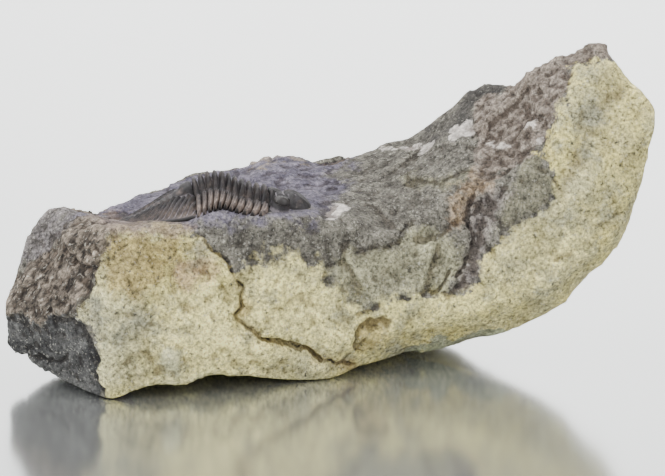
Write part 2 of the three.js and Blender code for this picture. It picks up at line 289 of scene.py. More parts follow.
STAINS = [
    [
        (4.5, -24.5), (5, -22.5), (6.5, -20.5), (8.5, -19), (11, -18.3), (12.8, -18.8), (13.2, -20.5),
        (12.3, -22.8), (10.5, -24.8), (8, -26), (6, -26),
    ],
    [(-21, -14.5), (-19, -14), (-19, -16), (-19.5, -17.5), (-21, -16.5)],
    [(-6.5, -25.5), (-4, -25.5), (-1, -27), (-1.5, -28), (-4.5, -27.5)],
    [(1.5, -28), (4.5, -27.5), (6, -29), (4, -30.5), (2, -30)],
]
BLUSH = [(-37, -10.5), (-35.5, -7), (-31, -4.5), (-27.5, -5.5), (-27, -7.5), (-30, -11), (-33.5, -12.5)]
UNDERSIDE_SCAR = [
    (15, -27), (17.5, -24.5), (24.5, -23), (33.5, -22), (39, -21), (43, -21.5), (39, -25.5), (29, -27.5),
]
OCHRE = [(-53, 1), (-44, 2), (-35, 1), (-32, -4), (-36, -9), (-44, -14), (-52, -12)]
LEMON = [
    [(-36, -12), (-22, -10), (-21, -20), (-14, -28), (-30, -32), (-40, -26)],
    [(-18, -6), (-8, -5), (2, -14), (8, -18), (0, -24), (-14, -20), (-20, -14)],
    [(12, -16), (30, -14), (46, -6), (60, 4), (50, -6), (38, -14), (22, -20), (10, -22)],
]
SMUDGES = [[(-56, -14), (-53, -14), (-53, -20), (-56, -19)], [(-46, -16), (-43, -15), (-42, -20), (-45, -21)]]
TOP_RIM = [(-57, 4), (-50, 5.5), (-42, 4.5), (-36, 3.5), (-31, 2), (-34, 0), (-42, 1), (-50, 0), (-56, -1)]
# Cracks and sharp edges of the front.
MAIN_CRACK = [
    (-30.5, 0), (-28.5, -2), (-26.5, -3), (-24, -4.5), (-22, -7.5), (-21, -11.5), (-20.5, -14.5), (-21, -18),
    (-18.5, -20.5), (-16, -23), (-13, -23), (-9.5, -24.5), (-6, -25.5), (-3, -27), (-0.5, -27.5),
    (2.5, -28.5), (5, -29.5),
]
FLAKE_EDGE = [(-0.5, -27), (1, -25), (3.5, -24), (5, -22), (6.5, -20), (8.5, -18.7), (11, -18)]
WIDE_CRACK = [(-16, -23), (-13, -23), (-9.5, -24.5), (-6, -25.5), (-3, -27)]
SIDE_CRACK = [(26.5, -7.5), (25.5, -9.5), (24, -11), (23.5, -12), (22.5, -13)]
NICK = [(19, 4.5), (17.5, 3.5), (16, 2), (15, 1)]
CLEFT_CRACK = [
    (32, 10), (31, 7.5), (30.5, 4.5), (31.5, 1.5), (31.5, -1), (31, -3.5), (30.5, -5.5), (29, -7.5),
]
LIP = [(16, 13), (20, 15), (24.5, 15.5), (28, 16.5), (30.5, 17.5), (32, 19.5), (33, 21.5)]
FOLD = [
    (3, -2), (7.5, -2.5), (12.5, -2), (16, 0.5), (19, 3.5), (23.5, 5.5), (27, 7.5), (29.5, 10.5), (33, 13),
]
END_LEDGE = [(-73.5, -29), (-70, -27.5), (-66.5, -27.5), (-62.5, -28), (-61, -27)]
TAIL_UNDERCUT = [
    (-44, 2.5), (-39, 4), (-35.5, 5), (-32, 6), (-31, 5.5), (-33, 4), (-36.5, 2.5), (-41.5, 2),
]


def animal_lane(points):
    """Millimetres from the line the animal lies along, and how far along it, tail tip to snout."""
    along = (points[:, 0] + 47.5) / 43
    return points[:, 1] + 13 - 5.2 * along, along


def lay_out(points, facing):
    """What the stone's skin is made of at each point, as distances to the edges of its patches."""
    across, up = seen_from_front(points)
    across = across + 0.9 * swell(points, 3.5, 14) + 0.5 * swell(points, 1.4, 15)
    up = up + 0.9 * swell(points, 3.5, 16) + 0.5 * swell(points, 1.4, 17)
    # On the level top the edges of patches wander more, because they run away from the front there.
    on_top = ramp(0, 18, points[:, 1]) * ramp(0.3, 0.7, facing[:, 2])
    across = across + 9 * swell(points, 9, 18) * on_top
    front = facing @ TOWARDS_FRONT > -0.02

    def inside(*outlines):
        return np.max([within(one, across, up) for one in outlines], axis=0)

    # The side away from the front has rind low down, brown rock at the blunt end and a rough ridge high up.
    hidden_rind = 4 + 5 * swell(points, 19, 11) - 0.25 * np.maximum(0, points[:, 2] - 52)
    hidden_rind -= 25 * ramp(0.15, 0.6, facing[:, 2])
    hidden_umber = 2 + 5 * swell(points, 15, 12) - (points[:, 0] + 50)
    hidden_ridge = 3 * swell(points, 11, 13) + 0.4 * (points[:, 2] - 58)
    patch = {
        "rind": np.where(front, inside(RIND), hidden_rind),
        "charcoal": inside(CHARCOAL) - np.where(front, 0, 30 * ramp(-12, 0, points[:, 1])),
        "umber": np.where(front, inside(UMBER), hidden_umber),
        "ridge": np.where(front, inside(RIDGE, FAR_LEDGE), hidden_ridge),
    }
    only_in_front = {
        "facet": [FACET], "bedding": [BEDDING], "rust": [RUST], "cleft": [CLEFT], "moss": [MOSS, SLAB],
        "olive": [OLIVE], "slope": [SLOPE], "pale": PALE, "boss": [BOSS], "stain": STAINS, "blush": [BLUSH],
        "ochre": [OCHRE], "lemon": LEMON, "smudge": SMUDGES, "rim": [TOP_RIM], "scar": [UNDERSIDE_SCAR],
    }
    for name, outlines in only_in_front.items():
        patch[name] = np.where(front, inside(*outlines), -30)
    cracks = [beside(one, across, up) for one in (MAIN_CRACK, SIDE_CRACK, CLEFT_CRACK, NICK)]
    patch["crack"] = np.where(front, np.min(cracks, axis=0), 30)
    # The rock under the far side of the animal is bedding plane too.
    aside, along = animal_lane(points)
    under_animal = 4 * ramp(18, 13, np.abs(aside)) * ramp(31, 34, points[:, 2])
    under_animal *= ramp(-0.15, 0, along) * ramp(1.3, 1.1, along)
    hidden = ~front & (under_animal > 0.5)
    patch["bedding"] = np.where(hidden, np.maximum(patch["bedding"], under_animal), patch["bedding"])
    return patch, across, up


points = places(stone)
pairs = neighbours(stone)
points = evened(points, pairs, 10)
PEAKS = [
    ((60.5, 7, 72), 3.2, 1.1), ((-60.5, -9.5, 38), 5, 1.0), ((-44, 3, 37), 9, 1.2), ((-22, 29, 40), 4, 1.2),
    ((48, 11, 67), 5, 0.7), ((-11, 30, 43), 5, -0.9),
]
for peak, reach, rise in PEAKS:
    points[:, 2] += rise * np.exp(-(np.linalg.norm(points - np.array(peak), axis=1) / reach) ** 2)
put(stone, points)
facing = evened(directions(stone), pairs, 12)
facing /= np.linalg.norm(facing, axis=1)[:, None]
patch, across, up = lay_out(points, facing)
ragged = 1.3 * swell(points, 3.2, 21) + 0.6 * swell(points, 1.2, 22)
soft = {name: ramp(-0.8, 0.8, edge + ragged) for name, edge in patch.items() if name != "crack"}
aside, along = animal_lane(points)
# The rock stays quiet under the animal, so that no chip comes up through it.
calm = ramp(0.02, 0.12, along) * ramp(1.12, 1.0, along) * ramp(15, 11.5, np.abs(aside))
calm = 1 - calm * ramp(33, 35, points[:, 2])

# Broken faces, coarse ones first, then the finer grit of each kind of surface.
broken = 0.8 * soft["umber"] + 0.8 * soft["ridge"] + 0.3 * soft["charcoal"] + 0.4 * soft["cleft"]
broken = np.clip(broken, 0, 1)
plain = np.clip(1 - soft["rind"] - soft["bedding"] - soft["charcoal"], 0, 1)
worn_end = 1 - 0.55 * ramp(0, 35, points[:, 0]) * soft["rind"]
push = (0.5 - 0.25 * plain + 0.6 * broken) * chips(points, 9, 30)
push += (0.2 - 0.08 * plain + 0.45 * broken) * worn_end * chips(points, 3.4, 40)
push += (0.13 + 0.42 * broken) * worn_end * chips(points, 1.5, 50, 0.2)
push += plain * (1.1 * chips(points, 17, 70, 0.03) + 0.15 * chips(points, 6, 80, 0.05))
push += 0.5 * swell(points, 11, 61) + 0.08 * swell(points, 3, 62)
push += (0.09 + 0.17 * broken) * swell(points, 1.1, 63)
strands = np.stack([
    (points[:, 0] + points[:, 2]) * 0.1, points[:, 1] * 0.6, (points[:, 0] - points[:, 2]) * 0.9,
], axis=1)
push += 0.08 * soft["umber"] * swell(strands * 1.3 + 0.3 * swell(points, 3, 67)[:, None], 1.0, 64)
# The bedding plane parts in thin sheets, so it goes down in low steps.
sheets = 1.6 * swell(points * np.array([1, 1, 0.4]), 9, 65) + 0.5 * swell(points, 3, 66)
push += soft["bedding"] * (0.7 * stairs(sheets, 0.7) - 0.35 * chips(points, 9, 30))
# Sharp edges of single breaks: the dark end stands back, the flake has come away, the lip overhangs.
push -= 0.7 * ramp(-0.3, 0.5, patch["charcoal"] + 0.4 * ragged)
push -= 0.8 * ramp(0.3, -0.4, beside(END_LEDGE, across, up) - 0.5) * soft["charcoal"]
flake = within(STAINS[0], across, up)
below_edge = np.clip(1 - beside(FLAKE_EDGE, across, up) / 4.5, 0, 1)
push -= 1.2 * ramp(-0.3, 0.4, flake + 0.3 * ragged) * below_edge
under_lip = np.clip(1 - beside(LIP, across, up) / 4, 0, 1)
push -= 1.3 * ramp(-0.2, 0.5, within(MOSS, across, up) + 0.3 * ragged) * under_lip
push -= 0.35 * ramp(1.6, 0, beside(FOLD, across, up) + 0.5 * ragged)
push -= 1.3 * ramp(-0.6, 2.6, patch["cleft"] + 0.5 * ragged)
push -= 0.9 * ramp(0.7, 0.1, beside(CLEFT_CRACK, across, up) + 0.3 * ragged)
gape = 0.35 + 0.35 * swell(points, 6, 68) + 0.3 * ragged
push -= 0.8 * ramp(0.8, 0.15, beside(MAIN_CRACK, across, up) + 0.3 * ragged) * (0.4 + gape)
wide = beside(WIDE_CRACK, across, up)
push -= 0.9 * ramp(0.6, 0.15, wide + 0.25 * ragged)
push += 0.7 * ramp(3.5, 0.8, beside(WIDE_CRACK, across, up + 2.2)) * ramp(0.2, 0.8, wide)
beyond_crack = ramp(-0.2, 0.2, across + 22 - 0.3 * (up + 12)) * ramp(-6, -8, up)
push -= 0.35 * beyond_crack * ramp(4, 0.4, beside(MAIN_CRACK, across, up))
push -= 0.7 * ramp(0.7, 0.1, beside(SIDE_CRACK, across, up)) + 0.5 * ramp(0.7, 0.1, beside(NICK, across, up))
push += 0.8 * ramp(-0.8, 1.8, within(BOSS, across, up))
push -= 0.25 * ramp(-0.4, 0.8, within(TAIL_UNDERCUT, across, up)) * ramp(33, 35, points[:, 2])
push *= np.where(facing @ TOWARDS_FRONT > -0.02, 1, 0.8) * (0.12 + 0.88 * calm)
footing = ramp(0.4, 3, points[:, 2])
# The rock rises in a smooth low bank to the tips of the ribs.
bank = ramp(-45, -38, points[:, 0]) * ramp(-1, -5, points[:, 0]) * ramp(14, 11.5, np.abs(aside))
bank *= ramp(34.5, 36, points[:, 2]) * (1 + 0.6 * ramp(-17, -14, points[:, 0]))
shaped = points + facing * (push * footing)[:, None]
shaped[:, 2] += (0.75 + 0.55 * ramp(-30, -33, points[:, 0])) * bank

low, high = (np.array(corner) * 1000 for corner in cad_box)
shaped = np.clip(shaped, low + 0.01, high - 0.01)
shaped[:, 2] = np.maximum(shaped[:, 2], 0)
put(stone, shaped)
# How far each point sits in a hollow (above zero) or out on an edge (below zero); the colours read it for
# painted shade in hollows and a painted highlight on edges.
close = evened(shaped, pairs, 6)
wider = evened(close, pairs, 24)
hollow = np.einsum("ij,ij->i", close - shaped + 0.45 * (wider - shaped), facing)
for name, edge in [*patch.items(), ("hollow", hollow)]:
    mark = stone.data.attributes.new(name, "FLOAT", "POINT")
    mark.data.foreach_set("value", edge.astype(np.float32))
guard = stone.vertex_groups.new(name="fine")
keep = ramp(-0.3, 0.2, facing @ TOWARDS_FRONT)
for level in range(8):
    chosen = np.nonzero(np.minimum((keep * 8).astype(int), 7) == level)[0].tolist()
    guard.add(chosen, (level + 0.5) / 8, "REPLACE")
MOST_TRIANGLES = 190000
count = sum(len(face.vertices) - 2 for face in stone.data.polygons)
finish_modifier(
    stone, "DECIMATE", ratio=min(1, MOST_TRIANGLES / count), vertex_group="fine", vertex_group_factor=0.6,
)
bpy.ops.object.shade_smooth()


# ---- The stone: its colours ------------------------------------------------------------------------------
# Each kind of surface is a mineral of its own: ochre rind, grey-green broken mudstone, dark fresh rock at the
# blunt end, iron-brown rough rock, and the lilac-grey bedding plane. They meet along ragged edges.
def node(tree, kind, inputs=None, **settings):
    made = tree.nodes.new(kind)
    for key, value in settings.items():
        setattr(made, key, value)
    for key, value in (inputs or {}).items():
        if isinstance(value, bpy.types.NodeSocket):
            tree.links.new(value, made.inputs[key])
        else:
            made.inputs[key].default_value = value
    return made


def group(name, inputs, outputs):
    tree = bpy.data.node_groups.new(name, "ShaderNodeTree")
    for label, kind, value in inputs:
        socket = tree.interface.new_socket(name=label, in_out="INPUT", socket_type="NodeSocket" + kind)
        if value is not None:
            socket.default_value = value
    for label, kind in outputs:
        tree.interface.new_socket(name=label, in_out="OUTPUT", socket_type="NodeSocket" + kind)
    return tree, tree.nodes.new("NodeGroupInput").outputs, tree.nodes.new("NodeGroupOutput").inputs


def use(tree, shared, inputs):
    made = tree.nodes.new("ShaderNodeGroup")
    made.node_tree = shared
    for key, value in inputs.items():
        if isinstance(value, bpy.types.NodeSocket):
            tree.links.new(value, made.inputs[key])
        else:
            made.inputs[key].default_value = value
    return made.outputs


def sums(tree, operation, first, second, third=None):
    inputs = {0: first, 1: second}
    if third is not None:
        inputs[2] = third
    return node(tree, "ShaderNodeMath", inputs, operation=operation).outputs[0]


def remap(tree, value, low, high, to_low=0.0, to_high=1.0, curve="LINEAR"):
    """A value moved from one range to another, and held inside it."""
    inputs = {"Value": value, "From Min": low, "From Max": high, "To Min": to_low, "To Max": to_high}
    return node(tree, "ShaderNodeMapRange", inputs, interpolation_type=curve).outputs[0]


def noise(tree, vector, scale, detail, roughness=0.5, distortion=0.0):
    inputs = {
        "Vector": vector, "Scale": scale, "Detail": detail, "Roughness": roughness, "Distortion": distortion,
    }
    return node(tree, "ShaderNodeTexNoise", inputs).outputs[0]


def blend(tree, amount, under, over, kind="MIX"):
    made = node(tree, "ShaderNodeMix", {0: amount, 6: under, 7: over}, data_type="RGBA", blend_type=kind)
    return made.outputs[2]


def shade(hexed):
    """A colour written the usual way, as the amounts of light the shader works with."""
    parts = [int(hexed[i : i + 2], 16) / 255 for i in (0, 2, 4)]
    return (*[c / 12.92 if c <= 0.04045 else ((c + 0.055) / 1.055) ** 2.4 for c in parts], 1)


# Ragged edge: turns a distance to a patch's edge into a mask whose outline wanders.
ragged_edge, came, went = group(
    "ragged edge",
    [
        ("Distance", "Float", 0.0), ("Wander", "Float", 0.0), ("Reach", "Float", 1.0),
        ("Softness", "Float", 0.3),
    ],
    [("Mask", "Float")],
)
moved = sums(ragged_edge, "MULTIPLY_ADD", came["Wander"], came["Reach"], came["Distance"])
back = sums(ragged_edge, "MULTIPLY", came["Softness"], -1.0)
mask = remap(ragged_edge, moved, back, came["Softness"], curve="SMOOTHSTEP")
ragged_edge.links.new(mask, went["Mask"])

# Rock grain: two tones in uneven clots, with dark specks and pale grains, of a given size in millimetres.
rock_grain, came, went = group(
    "rock grain",
    [
        ("Vector", "Vector", None), ("Tone", "Color", (0.5, 0.5, 0.5, 1)),
        ("Second tone", "Color", (0.4, 0.4, 0.4, 1)), ("Clot size", "Float", 4.0), ("Grit", "Float", 0.5),
        ("Specks", "Float", 0.5), ("Grains", "Float", 0.3),
    ],
    [("Color", "Color"), ("Height", "Float")],
)
clot_scale = sums(rock_grain, "DIVIDE", 1000.0, came["Clot size"])
clots = noise(rock_grain, came["Vector"], clot_scale, 6.0, 0.62)
clotted = remap(rock_grain, clots, 0.4, 0.6)
tone = blend(rock_grain, clotted, came["Tone"], came["Second tone"])
fine = noise(rock_grain, came["Vector"], 1350.0, 4.0, 0.75)
gritty = remap(rock_grain, fine, 0.34, 0.66, -1.0)
grit = sums(rock_grain, "MULTIPLY_ADD", gritty, came["Grit"], 1.0)
grit_color = node(rock_grain, "ShaderNodeCombineColor", {0: grit, 1: grit, 2: grit}).outputs[0]
tone = blend(rock_grain, 1.0, tone, grit_color, "MULTIPLY")
pits = noise(rock_grain, came["Vector"], 950.0, 3.0, 0.6)
pit_amount = sums(rock_grain, "MULTIPLY", remap(rock_grain, pits, 0.61, 0.7), came["Specks"])
tone = blend(rock_grain, pit_amount, tone, (0.035, 0.032, 0.028, 1))
flecks = noise(rock_grain, came["Vector"], 1700.0, 1.0, distortion=0.6)
fleck_amount = sums(rock_grain, "MULTIPLY", remap(rock_grain, flecks, 0.64, 0.7), came["Grains"])
tone = blend(rock_grain, fleck_amount, tone, (0.68, 0.66, 0.58, 1))
rock_grain.links.new(tone, went["Color"])
height = sums(rock_grain, "MULTIPLY_ADD", clots, 1.2, sums(rock_grain, "MULTIPLY", fine, 1.6))
height = sums(rock_grain, "MULTIPLY_ADD", pit_amount, -0.9, height)
rock_grain.links.new(height, went["Height"])

stone_look = bpy.data.materials.new("weathered limestone")
stone_look.use_nodes = True
tree = stone_look.node_tree
skin = tree.nodes["Principled BSDF"]
where = node(tree, "ShaderNodeTexCoord").outputs["Object"]


def mark(name):
    return node(tree, "ShaderNodeAttribute", attribute_name=name).outputs["Fac"]


wander = remap(tree, noise(tree, where, 260.0, 7.0, 0.66), 0.3, 0.7, -1.0)


def rock(tone, second, clot=4.0, grit=0.5, specks=0.5, grains=0.3, lie=None):
    return use(tree, rock_grain, {
        "Vector": lie or where, "Tone": shade(tone), "Second tone": shade(second),
        "Clot size": clot, "Grit": grit, "Specks": specks, "Grains": grains,
    })


def edge_mask(name, reach=1.6, softness=0.3):
    inputs = {"Distance": mark(name), "Wander": wander, "Reach": reach, "Softness": softness}
    return use(tree, ragged_edge, inputs)[0]


combed = node(
    tree, "ShaderNodeMapping", {"Vector": where, "Rotation": (0, math.radians(-45), 0), "Scale": (2, 1, 1)},
    vector_type="TEXTURE",
).outputs[0]
yellower = remap(tree, noise(tree, where, 55.0, 5.0, 0.6), 0.38, 0.62)
rind_look = rock("cfc47c", "a99e66", 5.0, 0.7, 0.85, 0.3)
chalky = rock("c2bc8f", "9b9774", 3.0, 0.7, 0.85, 0.3)
rind_mix = {
    "Color": blend(tree, yellower, chalky["Color"], rind_look["Color"]),
    "Height": rind_look["Height"],
}
base = rock("6d6a61", "4d4a44", 3.0, 0.8, 0.6, 0.3)
color, bumps = base["Color"], base["Height"]
layers = [
    ("olive", rock("a5a283", "7c7a62", 3.5, 0.75, 0.6, 0.3), 3.0, 2.0, 0.8),
    ("slope", rock("474440", "393735", 5.0, 0.75, 0.5, 0.15), 2.5, 1.5, 0.95),
    ("moss", rock("77745f", "5a584a", 2.5, 0.75, 0.5, 0.2), 2.2, 1.0, 0.8),
    ("bedding", rock("6d6874", "504c59", 4.0, 0.65, 0.5, 0.12), 4.0, 2.6, 1.0),
    ("ridge", rock("847a70", "625850", 2.2, 0.7, 0.6, 0.2), 2.2, 0.5, 0.92),
    ("rind", rind_mix, 1.8, 0.45, 1.0),
    ("ochre", rock("a4935c", "7d6e46", 3.0, 0.75, 0.85, 0.2), 4.0, 3.0, 0.85),
    ("lemon", rock("f2e8a2", "dcd28e", 4.0, 0.65, 0.75, 0.3), 5.0, 3.5, 0.9),
    ("smudge", rock("77766a", "66655c", 2.0, 0.6, 0.6, 0.2), 1.6, 1.4, 0.6),
    ("rim", rock("8d7c6f", "64574f", 2.0, 0.6, 0.7, 0.2), 1.8, 0.8, 0.7),
    ("umber", rock("746a5f", "352f2a", 2.2, 0.9, 1.0, 0.3, combed), 2.0, 0.5, 0.96),
    ("facet", rock("716c6c", "494543", 2.4, 0.8, 0.7, 0.25), 1.6, 0.4, 0.95),
    ("charcoal", rock("515150", "2f2f30", 6.0, 0.8, 0.5, 0.3), 1.5, 0.3, 1.0),
    ("blush", rock("ab8c72", "8c735c", 2.0, 0.7, 0.7, 0.2), 2.4, 1.6, 0.6),
    ("rust", rock("a18a66", "7b674d", 1.6, 0.8, 0.8, 0.15), 2.8, 1.8, 0.6),
    ("cleft", rock("8d8580", "6b6463", 2.0, 0.75, 0.7, 0.2), 1.8, 1.0, 0.6),
    ("scar", rock("a2a688", "80836a", 2.0, 0.6, 0.5, 0.3), 1.2, 0.4, 0.95),
    ("stain", rock("8f7c4e", "a5925a", 1.8, 0.6, 0.6, 0.2), 1.4, 1.0, 0.6),
    ("boss", rock("b7b595", "9fa084", 3.0, 0.45, 0.3, 0.3), 1.4, 1.0, 0.8),
    ("pale", rock("dcd5ce", "bbb4ac", 2.0, 0.4, 0.3, 0.2), 1.6, 0.4, 0.75),
]
for name, look, reach, softness, strength in layers:
    mask = sums(tree, "MULTIPLY", edge_mask(name, reach, softness), strength)
    color = blend(tree, mask, color, look["Color"])
    bumps = node(tree, "ShaderNodeMix", {0: mask, 2: bumps, 3: look["Height"]}).outputs[0]
# Patches of grey come through the rind where it is thin.
thinned = remap(tree, noise(tree, where, 95.0, 8.0, 0.65), 0.53, 0.66)
thinned = sums(tree, "MULTIPLY", sums(tree, "MULTIPLY", thinned, edge_mask("rind")), 0.75)
color = blend(tree, thinned, color, rock("92937f", "7b7c6d", 2.5, 0.8, 0.6, 0.3)["Color"])
# Ochre has seeped out of the cracks in the rind.
seep = sums(tree, "MULTIPLY", remap(tree, mark("crack"), 1.5, 0.1), edge_mask("rind"))
seep = sums(tree, "MULTIPLY", sums(tree, "MULTIPLY", seep, yellower), 0.5)
color = blend(tree, seep, color, rock("927a45", "a89055", 1.5, 0.6, 0.8, 0.2)["Color"])
# Painted shade darkens the hollows and a painted highlight lightens the edges.
hollow_shade = remap(tree, mark("hollow"), 0.0, 0.17)
color = blend(tree, hollow_shade, color, (0.48, 0.45, 0.43, 1), "MULTIPLY")
edge_highlight = remap(tree, mark("hollow"), 0.0, -0.22)
color = blend(tree, edge_highlight, color, (1.35, 1.35, 1.32, 1), "MULTIPLY")
# Painted shade inside the cracks: a thin line darkened almost to black along each crack.
gap = remap(tree, sums(tree, "MULTIPLY_ADD", wander, 0.4, mark("crack")), 0.3, 0.08)
color = blend(tree, sums(tree, "MULTIPLY", gap, 0.92), color, (0.012, 0.01, 0.008, 1))
tree.links.new(color, skin.inputs["Base Color"])
relief = node(tree, "ShaderNodeBump", {"Strength": 1.0, "Distance": 0.0006, "Height": bumps})
tree.links.new(relief.outputs[0], skin.inputs["Normal"])
tree.links.new(remap(tree, bumps, 0.6, 1.6, 0.82, 0.97), skin.inputs["Roughness"])
skin.inputs["Specular IOR Level"].default_value = 0.35

stone.data.materials.clear()
stone.data.materials.append(stone_look)
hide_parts("matrix_stone")
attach(stone, "root")


# ---- The animal: its shell and its skin ------------------------------------------------------------------
# The shell was lime the animal grew, now dark brown-grey calcite. It arches over the stone from the tail tip
# to the snout, and hangs from that line like a roof. Every plate is a sheet laid on the arch, raised and
# grooved by its own rule, with a second sheet a little below it and walls all round.
CREST = np.array([
    (-2, -50.2, 35.1), (0, -47.8, 36.2), (4, -42.9, 38.4), (9.2, -38.4, 40.9), (13.5, -34.6, 42.9),
    (17.2, -31.6, 44.9), (19.4, -29.7, 46.1), (21.3, -27.9, 46.7), (23.5, -25.7, 46.9), (25.3, -23.9, 46.6),
    (27.7, -22, 45.5), (30.9, -19.1, 44.2), (34.3, -15.7, 43.5), (36.4, -13.7, 42.9), (41.9, -8.6, 41.4),
    (44.7, -6.2, 39.8), (48, -4.2, 37.4), (50, -3, 36),
])
AXIS_HALF, HALF_WIDTH = 3.6, 10.6
TAIL_END, THORAX_END, SNOUT = 17.2, 35.9, 48.8
# It lies a little aslant of the block, and the crest's places still want the shift that centres the block.
ASLANT = 5.1 / 42
TAIL_PLACE = (-46.2, -11.1)
CENTRING = (0.3, -1.758)


def crest_at(along_line):
    """Where the crest is, along and above the stone, smoothed over two millimetres."""
    near = [
        np.stack([np.interp(along_line + d, CREST[:, 0], CREST[:, c]) for c in (1, 2)])
        for d in (-1, -0.4, 0.4, 1)
    ]
    return np.mean(near, axis=0)


def on_arch(s, t, drop):
    """A point s along the arch, t across it (+ is the far side), and that far below the crest."""
    spread = np.clip((np.abs(t) - AXIS_HALF) / (HALF_WIDTH - AXIS_HALF), 0, 1)
    at = s - 1.2 * spread**2
    x, z = crest_at(at)
    x0, z0 = crest_at(np.maximum(0, at - 4))
    x1, z1 = crest_at(np.minimum(SNOUT, at + 4))
    heading = np.stack([x1 - x0, (x1 - x0) * ASLANT, z1 - z0], axis=1)
    side = np.stack([-heading[:, 1], heading[:, 0], 0 * x], axis=1)
    side /= np.linalg.norm(side, axis=1)[:, None]
    upright = np.cross(heading / np.linalg.norm(heading, axis=1)[:, None], side) + np.array([0, 0, 1])
    upright /= np.linalg.norm(upright, axis=1)[:, None]
    y = TAIL_PLACE[1] + (x - TAIL_PLACE[0]) * ASLANT
    middle = np.stack([x + CENTRING[0], y + CENTRING[1], z], axis=1)
    return middle + side * t[:, None] - upright * drop[:, None]


def sheet(name, along_count, across_count):
    """A closed flat box, many squares across, to be shaped. Gives the object and its points from -1 to 1."""
    bpy.ops.mesh.primitive_grid_add(x_subdivisions=across_count, y_subdivisions=along_count, size=2)
    piece = bpy.context.active_object
    piece.name = piece.data.name = name
    bpy.ops.object.mode_set(mode="EDIT")
    bpy.ops.mesh.select_all(action="SELECT")
    bpy.ops.mesh.extrude_region_move(TRANSFORM_OT_translate={"value": (0, 0, 1)})
    bpy.ops.mesh.select_all(action="SELECT")
    bpy.ops.mesh.normals_make_consistent(inside=False)
    bpy.ops.object.mode_set(mode="OBJECT")
    flat = places(piece) / 1000
    return piece, flat[:, 0], flat[:, 1], flat[:, 2] > 0.5


def dip(value, centre, width):
    return np.exp(-(((value - centre) / width) ** 2))


# Shell skin: dark calcite, tan where it is worn thin near the rib tips, with painted shade darkening the
# grooves and a painted highlight on the ridges.
shell_look = bpy.data.materials.new("dark calcite shell")
shell_look.use_nodes = True
tree = shell_look.node_tree
skin = tree.nodes["Principled BSDF"]
where = node(tree, "ShaderNodeTexCoord").outputs["Object"]
dark = use(tree, rock_grain, {
    "Vector": where, "Tone": shade("2c292c"), "Second tone": shade("1a1819"),
    "Clot size": 1.6, "Grit": 0.3, "Specks": 0.15, "Grains": 0.02,
})
worn = use(tree, rock_grain, {
    "Vector": where, "Tone": shade("85756b"), "Second tone": shade("544a47"),
    "Clot size": 1.2, "Grit": 0.35, "Specks": 0.2, "Grains": 0.04,
})
patchy = noise(tree, where, 420.0, 4.0, 0.6)
tan = sums(tree, "MULTIPLY_ADD", patchy, 1.4, sums(tree, "ADD", mark("tan"), -0.7))
tan = remap(tree, tan, 0.1, 0.9)
color = blend(tree, tan, dark["Color"], worn["Color"])
# Painted highlight: the ridges are lightened to a pale lilac-grey.
ridge_highlight = remap(tree, mark("hollow"), -0.02, -0.1)
color = blend(tree, sums(tree, "MULTIPLY", ridge_highlight, 0.6), color, shade("857e84"))
# Painted shade: the grooves are darkened almost to black.
groove_shade = remap(tree, mark("hollow"), 0.0, 0.1)
color = blend(tree, sums(tree, "MULTIPLY", groove_shade, 0.95), color, shade("0f0d0d"))
tree.links.new(color, skin.inputs["Base Color"])
grains = noise(tree, where, 2600.0, 3.0, 0.6)
relief = node(tree, "ShaderNodeBump", {"Strength": 0.5, "Distance": 0.00012, "Height": grains})
tree.links.new(relief.outputs[0], skin.inputs["Normal"])
tree.links.new(remap(tree, patchy, 0.3, 0.7, 0.55, 0.75), skin.inputs["Roughness"])
skin.inputs["Specular IOR Level"].default_value = 0.35


def finish_plate(piece, shaped, tan_amount, node_name):
    put(piece, shaped)
    pairs = neighbours(piece)
    # How far each point sits in a groove (above zero) or out on a ridge (below zero), read by the shell's
    # painted shade and highlight.
    hollow = np.einsum("ij,ij->i", evened(shaped, pairs, 6) - shaped, directions(piece))
    hollow *= 0.08 / np.percentile(np.abs(hollow), 88)
    for label, values in (("hollow", hollow), ("tan", tan_amount)):
        added = piece.data.attributes.new(label, "FLOAT", "POINT")
        added.data.foreach_set("value", values.astype(np.float32))
    select_only(piece)
    bpy.ops.object.shade_smooth()
    piece.data.materials.append(shell_look)
    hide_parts(node_name)
    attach(piece, "root")


# ---- Thorax: eleven rings --------------------------------------------------------------------------------
# One ring is a rounded hoop over the middle with a flat rib at each side. A furrow runs slantwise along each
# rib, and its end is a blunt point that trails behind. Rings meet in deep grooves, as a comb's teeth do.
RINGS = 11
RING_PITCH = 1.7


